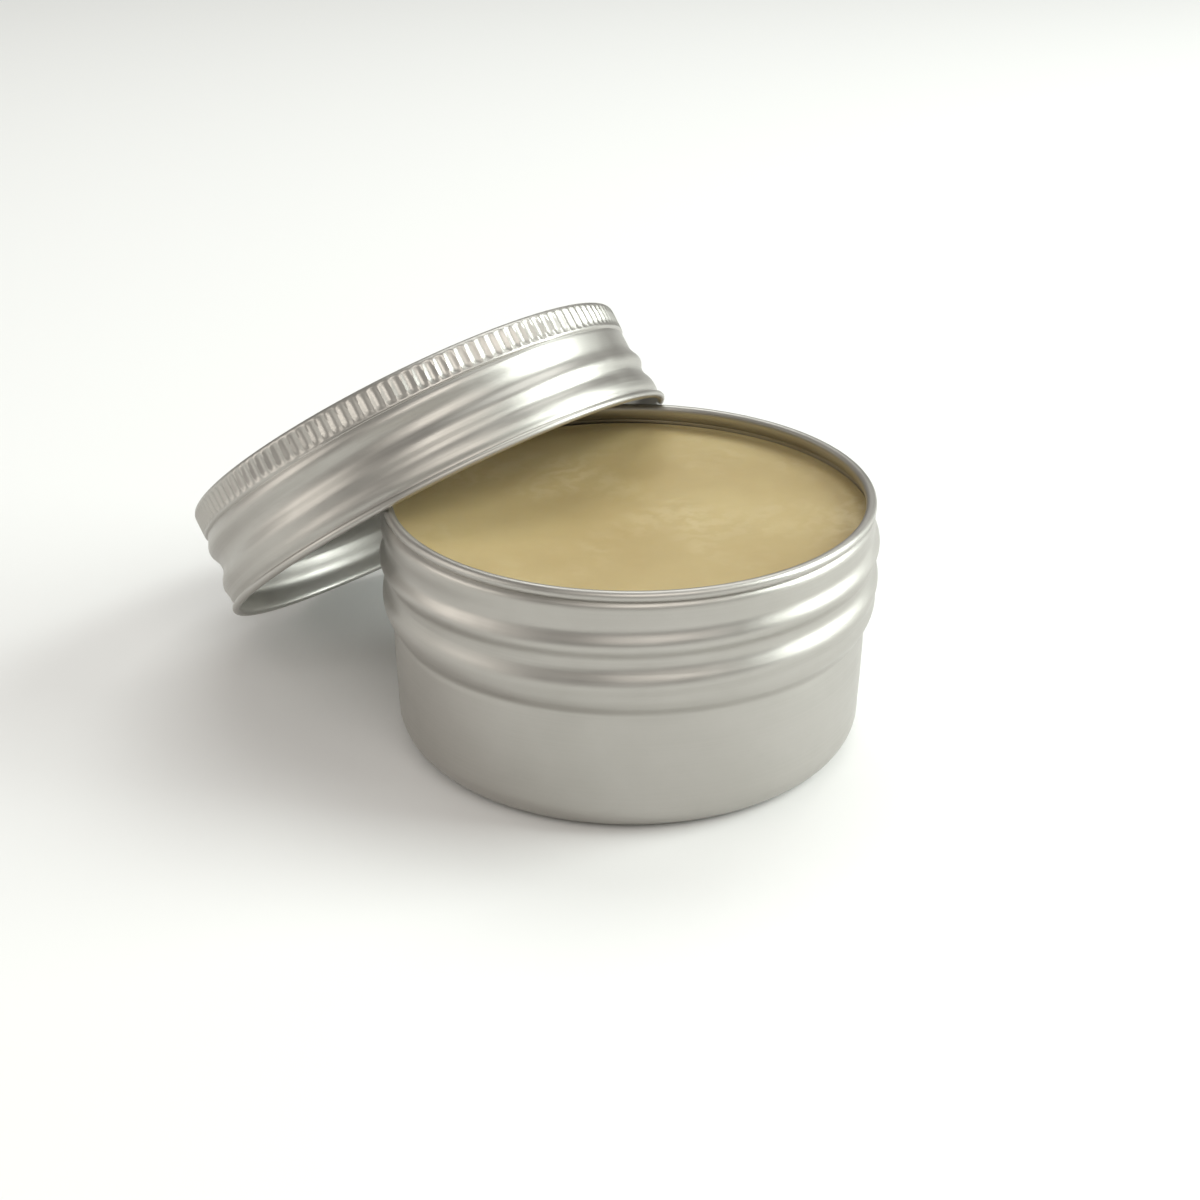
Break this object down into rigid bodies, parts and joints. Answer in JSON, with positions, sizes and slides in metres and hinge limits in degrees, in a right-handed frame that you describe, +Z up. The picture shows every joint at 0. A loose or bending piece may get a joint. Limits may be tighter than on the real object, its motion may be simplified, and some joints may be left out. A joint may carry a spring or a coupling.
{
  "type": "shoe polish tin",
  "caption": "Round aluminium screw tin of solid shoe polish, open, with its knurled screw lid leaning on the rim ready to lift off.",
  "frame": {"origin": "centre of the tin's flat base, on the table", "axes": "+Z up along the tin's own axis, +X to the viewer's right, +Y away from the viewer; the lid leans towards -X and +Y"},
  "size_m": [0.0952, 0.0927, 0.0541],
  "materials": {
    "tin_aluminium": "satin, lightly brushed round the wall",
    "polish": "satin wax, pale yellow tan",
    "lid_aluminium": "satin, lightly brushed round the wall",
    "liner_foam": "matt closed-cell foam"
  },
  "bodies": {
    "tin": {"tin_body": "tin_aluminium", "polish_wax": "polish"},
    "liner": {"lid_liner": "liner_foam"},
    "lid": {"lid_shell": "lid_aluminium"}
  },
  "joints": [
    {"name": "lid_lift", "type": "slide", "parent": "tin", "child": "liner", "axis": [-0.4602, 0.4143, 0.7852], "range_m": [0, 0.06]},
    {"name": "lid_turn", "type": "hinge", "parent": "liner", "child": "lid", "pos_m": [-0.0255, 0.02296, 0.02147], "axis": [-0.4602, 0.4143, 0.7852], "continuous": true}
  ]
}
